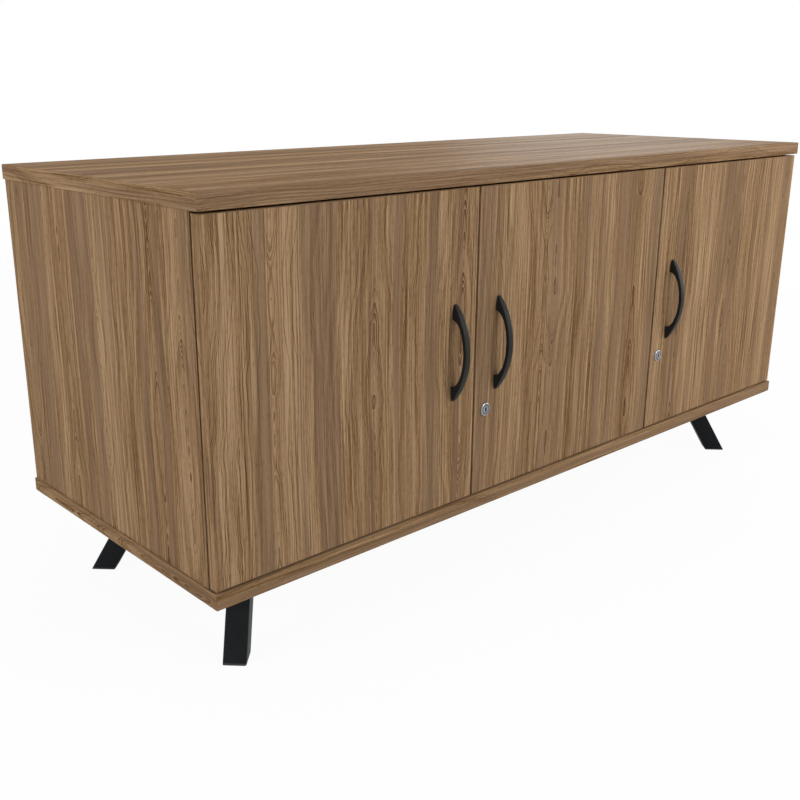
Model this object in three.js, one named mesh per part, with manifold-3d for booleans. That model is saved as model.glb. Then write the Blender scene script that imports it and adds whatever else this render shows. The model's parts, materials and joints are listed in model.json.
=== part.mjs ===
// Office credenza: three doors on concealed cup hinges, two cam locks, four splayed square-tube legs.
// Millimetres, +Z up, doors towards -Y, origin on the floor under the middle of the outline.

import * as THREE from 'three';
import { mergeVertices } from 'three/addons/utils/BufferGeometryUtils.js';
import Module from 'manifold-3d';

const wasm = await Module();
wasm.setup();

// Driving dimensions of the cabinet
const WIDTH = 1600;
const DEPTH = 600;
const LEG_HEIGHT = 150;
const CARCASS_HEIGHT = 590;
const THICK_BOARD = 25;
const BOARD = 18;
const BACK_BOARD = 15;
const OVERHANG = 3.5;
const TOP_EDGE_EASE = 1.5;
const SHELF_SETBACK = 30;

// Doors
const DOOR_COUNT = 3;
const DOOR_GAP = 4.5;
const DOOR_GAP_BELOW = 2.5;
const DOOR_GAP_ABOVE = 3.5;
const DOOR_GAP_BEHIND = 3.5;
const DOOR_EDGE_EASE = 0.75;

// Bow handles
const HANDLE_LENGTH = 164;
const HANDLE_REACH = 32;
const HANDLE_THICKNESS = 6;
const HANDLE_WIDTH = 11;
const HANDLE_FOOT = 25;
const HANDLE_TIP = 2.6;
const HANDLE_ROUND = 1.5;
const HANDLE_INSET = 51;
const HANDLE_SEAT = 0.25;

// Legs: square tube leaning out along the diagonal of the cabinet
const TUBE_SIZE = 38;
const TUBE_WALL = 2;
const TUBE_CORNER = 3;
const LEG_SPLAY = THREE.MathUtils.degToRad(30);
const FOOT_INSET = 84.5;
const LEG_PLATE = { length: 104, width: 84, thickness: 4, corner: 8, holeInset: 11, hole: 2.75 };
const PLUG_FLANGE = 3;
const PLUG_DEPTH = 14;

// Cam locks
const LOCK_INSET = 27;
const LOCK_ABOVE_DOOR_FOOT = 152;
const LOCK_FACE_RADIUS = 12;
const LOCK_FACE_HEIGHT = 2.5;
const LOCK_FACE_CHAMFER = 1;
const LOCK_BODY_RADIUS = 9;
const LOCK_BEHIND_DOOR = 8;
const PLUG_RADIUS = 5.8;
const KEY_SLOT = { width: 1.8, height: 7.5, depth: 6 };
const CAM = { reach: 17, hub: 6.5, tip: 4.5, thickness: 2, gap: 0.5 };
const STRIKE = { reach: 9.5, length: 22, height: 30, thickness: 1.5, cornerBehindEdge: 2.5 };

// Concealed hinges. In the hinge's own frame x runs from the door's hinge edge along the door,
// y runs from the door's back face into the cabinet, and z is the turning direction.
const HINGE_END_DISTANCE = 90;
const CUP = { centre: 22.5, radius: 17.4, inside: 15.6, depth: 12.6, floor: 0.7, rim: 19.5, rimHeight: 1 };
const CUP_WING = { offset: 5.5, reach: 26, radius: 6, hole: 2.1 };
const CUP_NOTCH = { depth: 3, halfHeight: 6.4 };
const OUTER_LINK = { root: [33.7, 5.3], elbow: [18.4, -9.5], cup: [11.5, -6.1] };
const INNER_LINK = { root: [38, 11.8], elbow: [16.6, -9.4], cup: [11.5, -2.9] };
const OPEN_PIVOT = { slot: 1.9, play: 0.5 };
const LINK_HALF_WIDTH = 2;
const SLOT_WALL = 0.6;
const LINK_HEIGHT = 4.6;
const LINK_CLEAR = 0.6;
const PIN_RADIUS = 1.1;
const PIN_PLAY = 0.3;
const PIN_EMBED = 0.6;
const ARM = { halfHeight: 8, wall: 1.6, front: 3.2, tail: 58, bend: 34, webStart: 19 };
const ARM_NOSE = { start: 0.85 * Math.PI, turn: 1.75 * Math.PI, end: 2.25 * Math.PI };
const HINGE_PLATE = { base: 2, rail: 8, railHalf: 6, front: 30, tail: 56 };
const PLATE_WING = { centre: 39, reach: 22, half: 6, hole: 2.1 };

// Gap kept between pieces that sit inside one another
const PLAY = 0.3;

// How far the form of a hole runs past the face that it opens
const PAST = 1;

// Steps of round pieces, and of the curves in outlines
const ROUND = 20;
const SMALL_ROUND = 12;
const HANDLE_STEPS = 10;
const SHEET_STEPS = 4;
const LINK_STEPS = 3;
const CORNER_STEPS = 2;
const EASE_STEPS = 2;

// Derived places
const HANDLE_BEYOND_TOP = HANDLE_SEAT + HANDLE_REACH - OVERHANG;
const FRONT_EDGE = HANDLE_BEYOND_TOP - (DEPTH + HANDLE_BEYOND_TOP) / 2;
const BACK_EDGE = FRONT_EDGE + DEPTH;
const CARCASS_FOOT = LEG_HEIGHT + THICK_BOARD;
const CARCASS_HEAD = LEG_HEIGHT + CARCASS_HEIGHT - THICK_BOARD;
const SIDE_OUTER = WIDTH / 2 - OVERHANG;
const SIDE_INNER = SIDE_OUTER - BOARD;
const DOOR_FRONT = FRONT_EDGE + OVERHANG;
const DOOR_BACK = DOOR_FRONT + BOARD;
const BOARD_FRONT = DOOR_BACK + DOOR_GAP_BEHIND;
const BACK_PANEL_FRONT = BACK_EDGE - BACK_BOARD;
const DOOR_WIDTH = (2 * SIDE_OUTER - (DOOR_COUNT - 1) * DOOR_GAP) / DOOR_COUNT;
const DOOR_FOOT = CARCASS_FOOT + DOOR_GAP_BELOW;
const DOOR_HEIGHT = CARCASS_HEAD - DOOR_GAP_ABOVE - DOOR_FOOT;
const PARTITION_CENTRE = (DOOR_WIDTH + DOOR_GAP) / 2;
const SHELF_MIDDLE = LEG_HEIGHT + CARCASS_HEIGHT / 2;
const HINGE_HEIGHTS = { upper: DOOR_HEIGHT - HINGE_END_DISTANCE, lower: HINGE_END_DISTANCE };

// Finishes
const FINISH = {
  laminate: { color: 0x86705e, roughness: 0.55, metalness: 0 },
  blackSteel: { color: 0x242628, roughness: 0.55, metalness: 0.2 },
  blackPlastic: { color: 0x1b1c1d, roughness: 0.6, metalness: 0 },
  charcoalHandle: { color: 0x2e2f30, roughness: 0.45, metalness: 0.1 },
  chrome: { color: 0xd4d6d8, roughness: 0.22, metalness: 1 },
  zincSteel: { color: 0xb4b7ba, roughness: 0.35, metalness: 1 },
};

function piece(name, geometry, finish) {
  const mesh = new THREE.Mesh(geometry, new THREE.MeshStandardMaterial(FINISH[finish]));
  mesh.name = name;
  return mesh;
}

// Joins and cuts of closed solids
function toSolid(geometry) {
  const bare = geometry.clone();
  bare.deleteAttribute('normal');
  bare.deleteAttribute('uv');
  const merged = mergeVertices(bare);
  const vertProperties = new Float32Array(merged.getAttribute('position').array);
  const triVerts = new Uint32Array(merged.getIndex().array);
  return new wasm.Manifold(new wasm.Mesh({ numProp: 3, vertProperties, triVerts }));
}

function toGeometry(body) {
  const mesh = body.getMesh();
  const geometry = new THREE.BufferGeometry();
  geometry.setAttribute('position', new THREE.BufferAttribute(mesh.vertProperties, 3));
  geometry.setIndex(new THREE.BufferAttribute(mesh.triVerts, 1));
  geometry.computeVertexNormals();
  return geometry;
}

function join(first, ...others) {
  return toGeometry(others.reduce((body, other) => body.add(toSolid(other)), toSolid(first)));
}

function cut(first, ...tools) {
  return toGeometry(tools.reduce((body, tool) => body.subtract(toSolid(tool)), toSolid(first)));
}

// Basic forms
function block(x, y, z) {
  const box = new THREE.BoxGeometry(x[1] - x[0], y[1] - y[0], z[1] - z[0]);
  return box.translate((x[0] + x[1]) / 2, (y[0] + y[1]) / 2, (z[0] + z[1]) / 2);
}

function upright(shape, bottom, top, curveSegments = SMALL_ROUND) {
  const options = { depth: top - bottom, bevelEnabled: false, curveSegments };
  return new THREE.ExtrudeGeometry(shape, options).translate(0, 0, bottom);
}

function uprightPin([x, y], radius, bottom, top, sides = SMALL_ROUND) {
  const pin = new THREE.CylinderGeometry(radius, radius, top - bottom, sides);
  return pin.rotateX(Math.PI / 2).translate(x, y, (top + bottom) / 2);
}

function levelPin([x, z], radius, front, back, sides = ROUND) {
  const pin = new THREE.CylinderGeometry(radius, radius, back - front, sides);
  return pin.translate(x, (front + back) / 2, z);
}

// A board lying in XY from a corner at the origin, with all its long edges eased
function easedBoard(width, depth, thickness, ease) {
  const outline = new THREE.Shape([
    new THREE.Vector2(ease, ease),
    new THREE.Vector2(width - ease, ease),
    new THREE.Vector2(width - ease, depth - ease),
    new THREE.Vector2(ease, depth - ease),
  ]);
  const board = new THREE.ExtrudeGeometry(outline, {
    depth: thickness - 2 * ease,
    bevelThickness: ease,
    bevelSize: ease,
    bevelSegments: EASE_STEPS,
  });
  return board.translate(0, 0, ease);
}

function roundedRectangle(length, width, corner) {
  const shape = new THREE.Shape();
  const x = length / 2 - corner;
  const y = width / 2 - corner;
  shape.absarc(x, y, corner, 0, Math.PI / 2);
  shape.absarc(-x, y, corner, Math.PI / 2, Math.PI);
  shape.absarc(-x, -y, corner, Math.PI, 1.5 * Math.PI);
  shape.absarc(x, -y, corner, 1.5 * Math.PI, 2 * Math.PI);
  return shape;
}

// Carcass: thick top and bottom, sides, partitions, back and fixed shelves
function carcass() {
  const group = new THREE.Group();
  for (const [name, height] of [['top_panel', CARCASS_HEAD], ['bottom_panel', LEG_HEIGHT]]) {
    const panel = piece(name, easedBoard(WIDTH, DEPTH, THICK_BOARD, TOP_EDGE_EASE), 'laminate');
    panel.position.set(-WIDTH / 2, FRONT_EDGE, height);
    group.add(panel);
  }

  const heights = [CARCASS_FOOT, CARCASS_HEAD];
  const walls = [
    ['left_side_panel', -SIDE_OUTER, -SIDE_INNER, BACK_EDGE],
    ['left_partition', -PARTITION_CENTRE - BOARD / 2, -PARTITION_CENTRE + BOARD / 2, BACK_PANEL_FRONT],
    ['right_partition', PARTITION_CENTRE - BOARD / 2, PARTITION_CENTRE + BOARD / 2, BACK_PANEL_FRONT],
    ['right_side_panel', SIDE_INNER, SIDE_OUTER, BACK_EDGE],
  ];
  for (const [name, left, right, back] of walls) {
    const wall = block([left, right], [BOARD_FRONT, back], heights);
    group.add(piece(name, wall, 'laminate'));
  }

  const backPanel = block([-SIDE_INNER, SIDE_INNER], [BACK_PANEL_FRONT, BACK_EDGE], heights);
  group.add(piece('back_panel', backPanel, 'laminate'));

  const shelfNames = ['left_shelf', 'middle_shelf', 'right_shelf'];
  shelfNames.forEach((name, index) => {
    const left = walls[index][2];
    const right = walls[index + 1][1];
    const depths = [BOARD_FRONT + SHELF_SETBACK, BACK_PANEL_FRONT];
    const shelf = block([left, right], depths, [SHELF_MIDDLE - BOARD / 2, SHELF_MIDDLE + BOARD / 2]);
    group.add(piece(name, shelf, 'laminate'));
  });
  return group;
}

// A prism of the leg's level section, leaning out along x as it goes down
function leaningPrism(size, corner, bottom, top) {
  const lean = Math.tan(LEG_SPLAY);
  const prism = upright(roundedRectangle(size, size, corner), bottom, top, CORNER_STEPS);
  prism.scale(1 / Math.cos(LEG_SPLAY), 1, 1);
  const shear = new THREE.Matrix4().makeShear(0, 0, 0, 0, -lean, 0);
  return prism.applyMatrix4(shear).translate(lean * LEG_HEIGHT, 0, 0);
}

// Tube welded to its mounting plate, open at the foot
function legGeometry() {
  const plateFoot = LEG_HEIGHT - LEG_PLATE.thickness;
  const inside = TUBE_SIZE - 2 * TUBE_WALL;
  const plateOutline = roundedRectangle(LEG_PLATE.length, LEG_PLATE.width, LEG_PLATE.corner);
  const plate = upright(plateOutline, plateFoot, LEG_HEIGHT, CORNER_STEPS);
  const tube = leaningPrism(TUBE_SIZE, TUBE_CORNER, PLUG_FLANGE, plateFoot + LEG_PLATE.thickness / 2);
  const hollow = leaningPrism(inside, TUBE_CORNER - TUBE_WALL, 0, plateFoot);
  const holes = [];
  for (const alongSign of [-1, 1]) {
    for (const acrossSign of [-1, 1]) {
      const along = alongSign * (LEG_PLATE.length / 2 - LEG_PLATE.holeInset);
      const across = acrossSign * (LEG_PLATE.width / 2 - LEG_PLATE.holeInset);
      holes.push(uprightPin([along, across], LEG_PLATE.hole, plateFoot - PAST, LEG_HEIGHT + PAST));
    }
  }
  return cut(join(plate, tube), hollow, ...holes);
}

// Plastic plug: a flange on the floor and a spigot inside the tube
function legPlugGeometry() {
  const inside = TUBE_SIZE - 2 * TUBE_WALL - 2 * PLAY;
  const flange = leaningPrism(TUBE_SIZE, TUBE_CORNER, 0, PLUG_FLANGE);
  const spigot = leaningPrism(inside, TUBE_CORNER - TUBE_WALL, PLUG_FLANGE / 2, PLUG_FLANGE + PLUG_DEPTH);
  return join(flange, spigot);
}

function legs() {
  const group = new THREE.Group();
  const topInset = FOOT_INSET + (LEG_HEIGHT * Math.tan(LEG_SPLAY)) / Math.SQRT2;
  const rows = [['front', FRONT_EDGE + topInset, -1], ['rear', BACK_EDGE - topInset, 1]];
  const sides = [['left', -1], ['right', 1]];
  for (const [rowName, y, rowSign] of rows) {
    for (const [sideName, sideSign] of sides) {
      const leg = new THREE.Group();
      leg.position.set(sideSign * (WIDTH / 2 - topInset), y, 0);
      leg.rotation.z = Math.atan2(rowSign, sideSign);
      leg.add(piece(`${rowName}_${sideName}_leg`, legGeometry(), 'blackSteel'));
      leg.add(piece(`${rowName}_${sideName}_leg_plug`, legPlugGeometry(), 'blackPlastic'));
      group.add(leg);
    }
  }
  return group;
}

// Bow handle on the plane y = 0, standing out towards -y; its outline is drawn as (reach, height),
// inset by the rounding that the bevel adds again
function handleGeometry() {
  const tip = HANDLE_LENGTH / 2;
  const rise = HANDLE_REACH - HANDLE_TIP;
  const outerRadius = (rise * rise + tip * tip) / (2 * rise);
  const outerCentre = HANDLE_REACH - outerRadius;
  const outerInset = outerRadius - HANDLE_ROUND;
  const outerAngle = Math.asin((tip - HANDLE_ROUND) / outerInset);
  const innerReach = HANDLE_REACH - HANDLE_THICKNESS + HANDLE_ROUND;
  const innerHalf = tip - HANDLE_FOOT + HANDLE_ROUND;
  const innerAngle = Math.acos(HANDLE_ROUND / innerReach);

  const outline = new THREE.Shape();
  outline.moveTo(HANDLE_ROUND, HANDLE_ROUND - tip);
  outline.absellipse(0, 0, innerReach, innerHalf, -innerAngle, innerAngle);
  outline.lineTo(HANDLE_ROUND, tip - HANDLE_ROUND);
  outline.absarc(outerCentre, 0, outerInset, outerAngle, -outerAngle, true);
  const handle = new THREE.ExtrudeGeometry(outline, {
    depth: HANDLE_WIDTH - 2 * HANDLE_ROUND,
    bevelThickness: HANDLE_ROUND,
    bevelSize: HANDLE_ROUND,
    bevelSegments: EASE_STEPS,
    curveSegments: HANDLE_STEPS,
  });
  handle.translate(0, 0, HANDLE_ROUND - HANDLE_WIDTH / 2);
  return handle.rotateX(Math.PI / 2).rotateZ(-Math.PI / 2);
}

// Lock around the y axis; the door's back face is y = 0 and its front face y = -BOARD
function lockHousingGeometry() {
  const front = -BOARD - LOCK_FACE_HEIGHT;
  const bore = PLUG_RADIUS + PLAY;
  const profile = [
    [bore, front],
    [LOCK_FACE_RADIUS - LOCK_FACE_CHAMFER, front],
    [LOCK_FACE_RADIUS, front + LOCK_FACE_CHAMFER],
    [LOCK_FACE_RADIUS, -BOARD],
    [LOCK_BODY_RADIUS, -BOARD],
    [LOCK_BODY_RADIUS, LOCK_BEHIND_DOOR],
    [bore, LOCK_BEHIND_DOOR],
    [bore, front],
  ];
  return new THREE.LatheGeometry(profile.map(([radius, y]) => new THREE.Vector2(radius, y)), ROUND);
}

// Turning plug with its key slot and, behind the door, the cam hanging down
function lockPlugGeometry() {
  const front = -BOARD - LOCK_FACE_HEIGHT + PLAY;
  const camFront = LOCK_BEHIND_DOOR + CAM.gap;
  const camBack = camFront + CAM.thickness;
  const barrel = levelPin([0, 0], PLUG_RADIUS, front, camFront + CAM.thickness / 2);
  const tongue = new THREE.Shape();
  tongue.absarc(0, 0, CAM.hub, 0, Math.PI);
  tongue.absarc(0, CAM.tip - CAM.reach, CAM.tip, Math.PI, 2 * Math.PI);
  const cam = upright(tongue, 0, CAM.thickness).rotateX(Math.PI / 2).translate(0, camBack, 0);
  const halfWidth = KEY_SLOT.width / 2;
  const halfHeight = KEY_SLOT.height / 2;
  const slotDepths = [front - PAST, front + KEY_SLOT.depth];
  const slot = block([-halfWidth, halfWidth], slotDepths, [-halfHeight, halfHeight]);
  return cut(join(barrel, cam), slot);
}

// Angle strike on the partition that the cam turns behind
function strikeGeometry() {
  const { reach, length, height, thickness } = STRIKE;
  const angle = new THREE.Shape([
    new THREE.Vector2(0, 0),
    new THREE.Vector2(reach, 0),
    new THREE.Vector2(reach, thickness),
    new THREE.Vector2(thickness, thickness),
    new THREE.Vector2(thickness, length),
    new THREE.Vector2(0, length),
  ]);
  return upright(angle, -height / 2, height / 2);
}

// Door in its own frame: hinge edge at x = 0, back face at y = 0, foot at z = 0
function doorGeometry(away, hasLock) {
  const board = easedBoard(DOOR_WIDTH, DOOR_HEIGHT, BOARD, DOOR_EDGE_EASE).rotateX(Math.PI / 2);
  board.translate(away > 0 ? 0 : -DOOR_WIDTH, 0, 0);
  const bores = Object.values(HINGE_HEIGHTS).map((height) =>
    levelPin([away * CUP.centre, height], CUP.radius + PLAY, -CUP.depth - PLAY, PAST));
  if (hasLock) {
    const lockPlace = [away * (DOOR_WIDTH - LOCK_INSET), LOCK_ABOVE_DOOR_FOOT];
    bores.push(levelPin(lockPlace, LOCK_BODY_RADIUS + PLAY, -BOARD - PAST, PAST));
  }
  return cut(board, ...bores);
}

// Cup of a hinge: pot with rim and screw wings, notched towards the hinge edge, with its two half pins
function cupGeometry() {
  const { centre, radius, inside, depth, floor, rim, rimHeight } = CUP;
  const profile = [
    [0, -depth],
    [radius, -depth],
    [radius, 0],
    [rim, 0],
    [rim, rimHeight],
    [inside, rimHeight],
    [inside, floor - depth],
    [0, floor - depth],
  ];
  const pot = new THREE.LatheGeometry(profile.map(([r, y]) => new THREE.Vector2(r, y)), ROUND);
  pot.translate(centre, 0, 0);

  const wingMiddle = centre + CUP_WING.offset;
  const wingOutline = new THREE.Shape();
  wingOutline.absarc(wingMiddle, CUP_WING.reach, CUP_WING.radius, 0, Math.PI);
  wingOutline.absarc(wingMiddle, -CUP_WING.reach, CUP_WING.radius, Math.PI, 2 * Math.PI);
  const wingBar = upright(wingOutline, 0, rimHeight, SHEET_STEPS).rotateX(Math.PI / 2);
  wingBar.translate(0, rimHeight, 0);
  const above = rimHeight + PAST;
  const mouth = levelPin([centre, 0], (inside + radius) / 2, -PAST, above);
  const notchHeights = [-CUP_NOTCH.halfHeight, CUP_NOTCH.halfHeight];
  const notchEnds = [centre - rim - PAST, centre - inside / 2];
  const notch = block(notchEnds, [-CUP_NOTCH.depth, above], notchHeights);
  const screwHoles = [-1, 1].map((side) =>
    levelPin([wingMiddle, side * CUP_WING.reach], CUP_WING.hole, -PAST, above, SMALL_ROUND));

  const pinEnd = Math.sqrt(inside ** 2 - (centre - OUTER_LINK.cup[0]) ** 2) + PIN_EMBED;
  const outerPin = uprightPin(OUTER_LINK.cup, PIN_RADIUS, LINK_CLEAR / 2, pinEnd);
  const innerPin = uprightPin(INNER_LINK.cup, PIN_RADIUS, -pinEnd, -LINK_CLEAR / 2);
  const wings = cut(wingBar, mouth, ...screwHoles);
  return join(cut(join(pot, wings), notch), outerPin, innerPin);
}

// Outline of a straight bar with round ends between two places
function barShape(from, to, halfWidth) {
  const angle = Math.atan2(to[1] - from[1], to[0] - from[0]);
  const bar = new THREE.Shape();
  bar.absarc(to[0], to[1], halfWidth, angle - Math.PI / 2, angle + Math.PI / 2);
  bar.absarc(from[0], from[1], halfWidth, angle + Math.PI / 2, angle + 1.5 * Math.PI);
  return bar;
}

function roundHole([x, y], radius) {
  return new THREE.Path().absarc(x, y, radius, 0, 2 * Math.PI, true);
}

// Outline of a bar of even width with round ends and one bend, rounded outside, at the elbow
function crankedShape(root, elbow, cup, halfWidth) {
  const rootAngle = Math.atan2(root[1] - elbow[1], root[0] - elbow[0]);
  const cupAngle = Math.atan2(cup[1] - elbow[1], cup[0] - elbow[0]);
  const bisector = (rootAngle + cupAngle) / 2;
  const mitre = halfWidth / Math.sin((cupAngle - rootAngle) / 2);
  const shape = new THREE.Shape();
  shape.absarc(root[0], root[1], halfWidth, rootAngle - Math.PI / 2, rootAngle + Math.PI / 2);
  shape.lineTo(elbow[0] + mitre * Math.cos(bisector), elbow[1] + mitre * Math.sin(bisector));
  shape.absarc(cup[0], cup[1], halfWidth, cupAngle - Math.PI / 2, cupAngle + Math.PI / 2);
  shape.absarc(elbow[0], elbow[1], halfWidth, cupAngle + Math.PI / 2, rootAngle + 1.5 * Math.PI);
  return shape;
}

// Outer link: cranked bar that turns on a root pin of the arm and carries the cup on its other pin
function outerLinkGeometry() {
  const { root, elbow, cup } = OUTER_LINK;
  const shape = crankedShape(root, elbow, cup, LINK_HALF_WIDTH);
  shape.holes.push(roundHole(root, PIN_RADIUS + PIN_PLAY), roundHole(cup, PIN_RADIUS + PIN_PLAY));
  return upright(shape, LINK_CLEAR, LINK_CLEAR + LINK_HEIGHT, LINK_STEPS);
}

// Inner link: a like bar below the outer one, whose cup eye is a short slot along the line of its pins
function innerLinkGeometry() {
  const { root, elbow, cup } = INNER_LINK;
  const bottom = -LINK_CLEAR - LINK_HEIGHT;
  const along = new THREE.Vector2(cup[0] - root[0], cup[1] - root[1]).setLength(OPEN_PIVOT.slot / 2);
  const slotEnds = [
    [cup[0] - along.x, cup[1] - along.y],
    [cup[0] + along.x, cup[1] + along.y],
  ];
  const slotHalf = PIN_RADIUS + OPEN_PIVOT.play;
  const shape = crankedShape(root, elbow, cup, LINK_HALF_WIDTH);
  shape.holes.push(roundHole(root, PIN_RADIUS + PIN_PLAY));
  const shank = upright(shape, bottom, -LINK_CLEAR, LINK_STEPS);
  const eye = upright(barShape(...slotEnds, slotHalf + SLOT_WALL), bottom, -LINK_CLEAR, LINK_STEPS);
  const slot = upright(barShape(...slotEnds, slotHalf), bottom - PAST, PAST - LINK_CLEAR, LINK_STEPS);
  return cut(join(shank, eye), slot);
}

// Channel-shaped arm: two cheeks that carry the root pins, joined by a web along the plate
function armGeometry(wallFace) {
  const left = wallFace + HINGE_PLATE.base + PLAY;
  const webInner = wallFace + HINGE_PLATE.rail + PLAY;
  const right = webInner + ARM.wall;
  const [outerX, outerY] = OUTER_LINK.root;
  const [innerX, innerY] = INNER_LINK.root;

  const cheek = new THREE.Shape();
  cheek.moveTo(left, ARM.tail);
  cheek.lineTo(left, ARM.bend);
  cheek.absarc(outerX, outerY, ARM.front, ARM_NOSE.start, ARM_NOSE.turn);
  cheek.absarc(innerX, innerY, ARM.front, ARM_NOSE.turn, ARM_NOSE.end);
  cheek.lineTo(right, ARM.bend);
  cheek.lineTo(right, ARM.tail);

  const frontShare = (ARM.bend - ARM.webStart) / (ARM.bend - innerY);
  const noseEnd = innerX + ARM.front * Math.cos(ARM_NOSE.end);
  const webFront = right + (noseEnd - right) * frontShare;
  const web = new THREE.Shape([
    new THREE.Vector2(webInner, ARM.tail),
    new THREE.Vector2(webInner, ARM.bend),
    new THREE.Vector2(webFront - ARM.wall, ARM.webStart),
    new THREE.Vector2(webFront, ARM.webStart),
    new THREE.Vector2(right, ARM.bend),
    new THREE.Vector2(right, ARM.tail),
  ]);

  const cheekInner = ARM.halfHeight - ARM.wall;
  return join(
    upright(cheek, cheekInner, ARM.halfHeight, SHEET_STEPS),
    upright(cheek, -ARM.halfHeight, -cheekInner, SHEET_STEPS),
    upright(web, -ARM.halfHeight, ARM.halfHeight),
    uprightPin(OUTER_LINK.root, PIN_RADIUS, LINK_CLEAR / 2, ARM.halfHeight - ARM.wall / 2),
    uprightPin(INNER_LINK.root, PIN_RADIUS, ARM.wall / 2 - ARM.halfHeight, -LINK_CLEAR / 2),
  );
}

// Mounting plate on the wall: a rail that the arm sits on, and two screw wings
function hingePlateGeometry(wallFace) {
  const { base, rail, railHalf, front, tail } = HINGE_PLATE;
  const { centre, reach, half, hole } = PLATE_WING;
  const wings = block([wallFace, wallFace + base], [centre - half, centre + half], [-reach, reach]);
  const railBar = block([wallFace, wallFace + rail], [front, tail], [-railHalf, railHalf]);
  const screwHoles = [-1, 1].map((side) => {
    const screwHole = new THREE.CylinderGeometry(hole, hole, 2 * (base + PAST), SMALL_ROUND);
    return screwHole.rotateZ(Math.PI / 2).translate(wallFace, centre, side * (reach - half));
  });
  return cut(join(wings, railBar), ...screwHoles);
}

// The five pieces of one hinge; wallFace is the wall's inner face in the hinge's frame
function hinge(name, wallFace) {
  const group = new THREE.Group();
  group.add(piece(`${name}_cup`, cupGeometry(), 'zincSteel'));
  group.add(piece(`${name}_outer_link`, outerLinkGeometry(), 'zincSteel'));
  group.add(piece(`${name}_inner_link`, innerLinkGeometry(), 'zincSteel'));
  group.add(piece(`${name}_arm`, armGeometry(wallFace), 'zincSteel'));
  group.add(piece(`${name}_plate`, hingePlateGeometry(wallFace), 'zincSteel'));
  return group;
}

// A door with its handle, hinges and lock; away is +1 where the hinge edge is on the left
function doorSet({ name, hingeEdge, away, wallFace, strikeFace }) {
  const group = new THREE.Group();
  group.position.set(hingeEdge, DOOR_BACK, DOOR_FOOT);
  const hasLock = strikeFace !== undefined;
  group.add(piece(`${name}_door`, doorGeometry(away, hasLock), 'laminate'));

  const handle = piece(`${name}_handle`, handleGeometry(), 'charcoalHandle');
  handle.position.set(away * (DOOR_WIDTH - HANDLE_INSET), -BOARD - HANDLE_SEAT, SHELF_MIDDLE - DOOR_FOOT);
  group.add(handle);

  for (const [level, height] of Object.entries(HINGE_HEIGHTS)) {
    const hingeGroup = hinge(`${name}_${level}_hinge`, wallFace);
    hingeGroup.position.z = height;
    hingeGroup.rotation.y = away > 0 ? 0 : Math.PI;
    group.add(hingeGroup);
  }

  if (hasLock) {
    const lock = new THREE.Group();
    lock.position.set(away * (DOOR_WIDTH - LOCK_INSET), 0, LOCK_ABOVE_DOOR_FOOT);
    lock.add(piece(`${name}_lock_housing`, lockHousingGeometry(), 'chrome'));
    lock.add(piece(`${name}_lock_plug`, lockPlugGeometry(), 'chrome'));
    group.add(lock);
    const strike = piece(`${name}_lock_strike`, strikeGeometry(), 'zincSteel');
    const strikeFront = DOOR_GAP_BEHIND + STRIKE.cornerBehindEdge;
    strike.position.set(strikeFace - hingeEdge, strikeFront, LOCK_ABOVE_DOOR_FOOT);
    group.add(strike);
  }
  return group;
}

function doors() {
  const halfOverlay = (BOARD - DOOR_GAP) / 2;
  const group = new THREE.Group();
  group.add(doorSet({ name: 'left', hingeEdge: -SIDE_OUTER, away: 1, wallFace: BOARD }));
  group.add(doorSet({
    name: 'middle',
    hingeEdge: DOOR_WIDTH / 2,
    away: -1,
    wallFace: halfOverlay,
    strikeFace: -PARTITION_CENTRE + BOARD / 2,
  }));
  group.add(doorSet({
    name: 'right',
    hingeEdge: SIDE_OUTER,
    away: -1,
    wallFace: BOARD,
    strikeFace: PARTITION_CENTRE + BOARD / 2,
  }));
  return group;
}

const credenza = new THREE.Group();
credenza.add(carcass(), legs(), doors());

export default credenza;
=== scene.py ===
import json
import math

import bmesh
import bpy
from bpy.props import FloatProperty, FloatVectorProperty, PointerProperty
from mathutils import Matrix, Vector, noise

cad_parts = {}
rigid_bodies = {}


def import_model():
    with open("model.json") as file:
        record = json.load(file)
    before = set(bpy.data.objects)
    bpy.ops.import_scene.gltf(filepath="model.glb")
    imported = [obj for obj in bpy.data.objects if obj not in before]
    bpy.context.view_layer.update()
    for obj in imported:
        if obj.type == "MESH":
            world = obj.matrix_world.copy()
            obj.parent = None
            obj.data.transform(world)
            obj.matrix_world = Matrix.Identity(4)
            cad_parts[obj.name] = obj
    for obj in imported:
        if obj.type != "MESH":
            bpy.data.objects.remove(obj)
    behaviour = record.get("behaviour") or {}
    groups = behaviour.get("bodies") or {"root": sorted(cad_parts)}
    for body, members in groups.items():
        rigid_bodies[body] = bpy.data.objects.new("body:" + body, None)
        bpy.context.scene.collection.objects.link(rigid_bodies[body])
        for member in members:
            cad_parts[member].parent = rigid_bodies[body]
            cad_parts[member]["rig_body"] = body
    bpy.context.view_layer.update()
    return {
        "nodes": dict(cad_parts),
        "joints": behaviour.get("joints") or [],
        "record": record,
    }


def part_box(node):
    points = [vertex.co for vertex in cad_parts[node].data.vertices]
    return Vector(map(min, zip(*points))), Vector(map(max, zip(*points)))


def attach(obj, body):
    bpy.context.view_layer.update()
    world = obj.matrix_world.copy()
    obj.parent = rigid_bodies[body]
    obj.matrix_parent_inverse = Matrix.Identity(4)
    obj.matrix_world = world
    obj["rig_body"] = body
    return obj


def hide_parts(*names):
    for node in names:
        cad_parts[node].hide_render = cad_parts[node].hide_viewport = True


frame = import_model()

bl_info = {
    "name": "Office credenza",
    "version": (1, 0, 0),
    "blender": (4, 5, 0),
    "location": "3D View > Sidebar > Credenza",
    "description": "Dresses the solids of an office credenza with boards, edge bands, hardware and finishes",
    "category": "Object",
}

NODES = frame["nodes"]
X, Y, Z = 0, 1, 2
AXIS_NAMES = "XYZ"
MM = 0.001

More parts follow.
